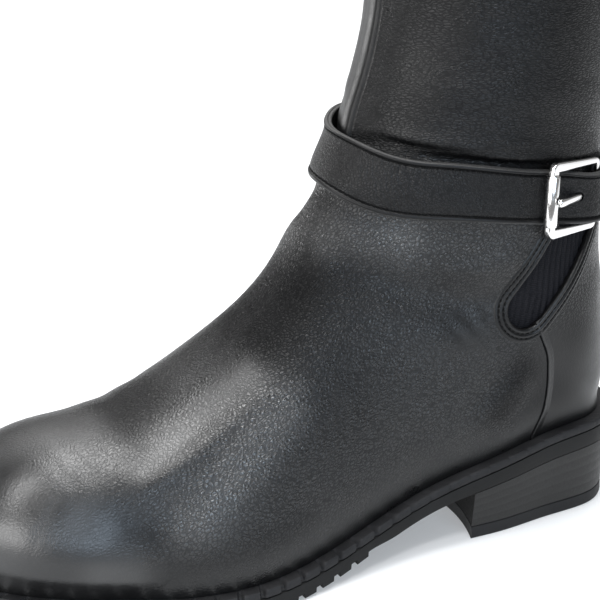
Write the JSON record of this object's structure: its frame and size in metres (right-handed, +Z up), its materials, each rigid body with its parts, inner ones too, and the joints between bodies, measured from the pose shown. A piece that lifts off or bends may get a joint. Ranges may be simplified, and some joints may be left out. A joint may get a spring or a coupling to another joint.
{
  "type": "motorcycle boot",
  "caption": "Black leather pull-on motorcycle boot with ankle strap, roller buckle, side elastic, notched welt, lugged sole and stacked block heel; left foot.",
  "frame": {"origin": "centre of the part's box in plan, on the floor that the sole and heel stand on", "axes": "+Z up, toe towards -Y, outer side of the left foot towards +X"},
  "size_m": [0.0999, 0.2819, 0.2472],
  "materials": {
    "upper": "satin full-grain leather, fine pebble grain",
    "shaft": "satin full-grain leather, tumbled grain",
    "strap": "satin leather, raw lighter edge, stitched",
    "elastic": "ribbed elastic webbing",
    "buckle": "polished nickel plate",
    "welt": "matt moulded rubber, notched",
    "outsole": "matt moulded rubber",
    "heel": "stacked board, waxed black",
    "top_lift": "matt rubber",
    "insole": "plain leather sock over board"
  },
  "bodies": {
    "root": {"upper": "upper", "shaft": "shaft", "gore": "elastic", "ankle_strap": "strap", "buckle_frame": "buckle", "buckle_roller": "buckle", "buckle_prong": "buckle", "welt": "welt", "outsole": "outsole", "heel_stack": "heel", "top_lift": "top_lift", "insole": "insole"}
  },
  "joints": []
}
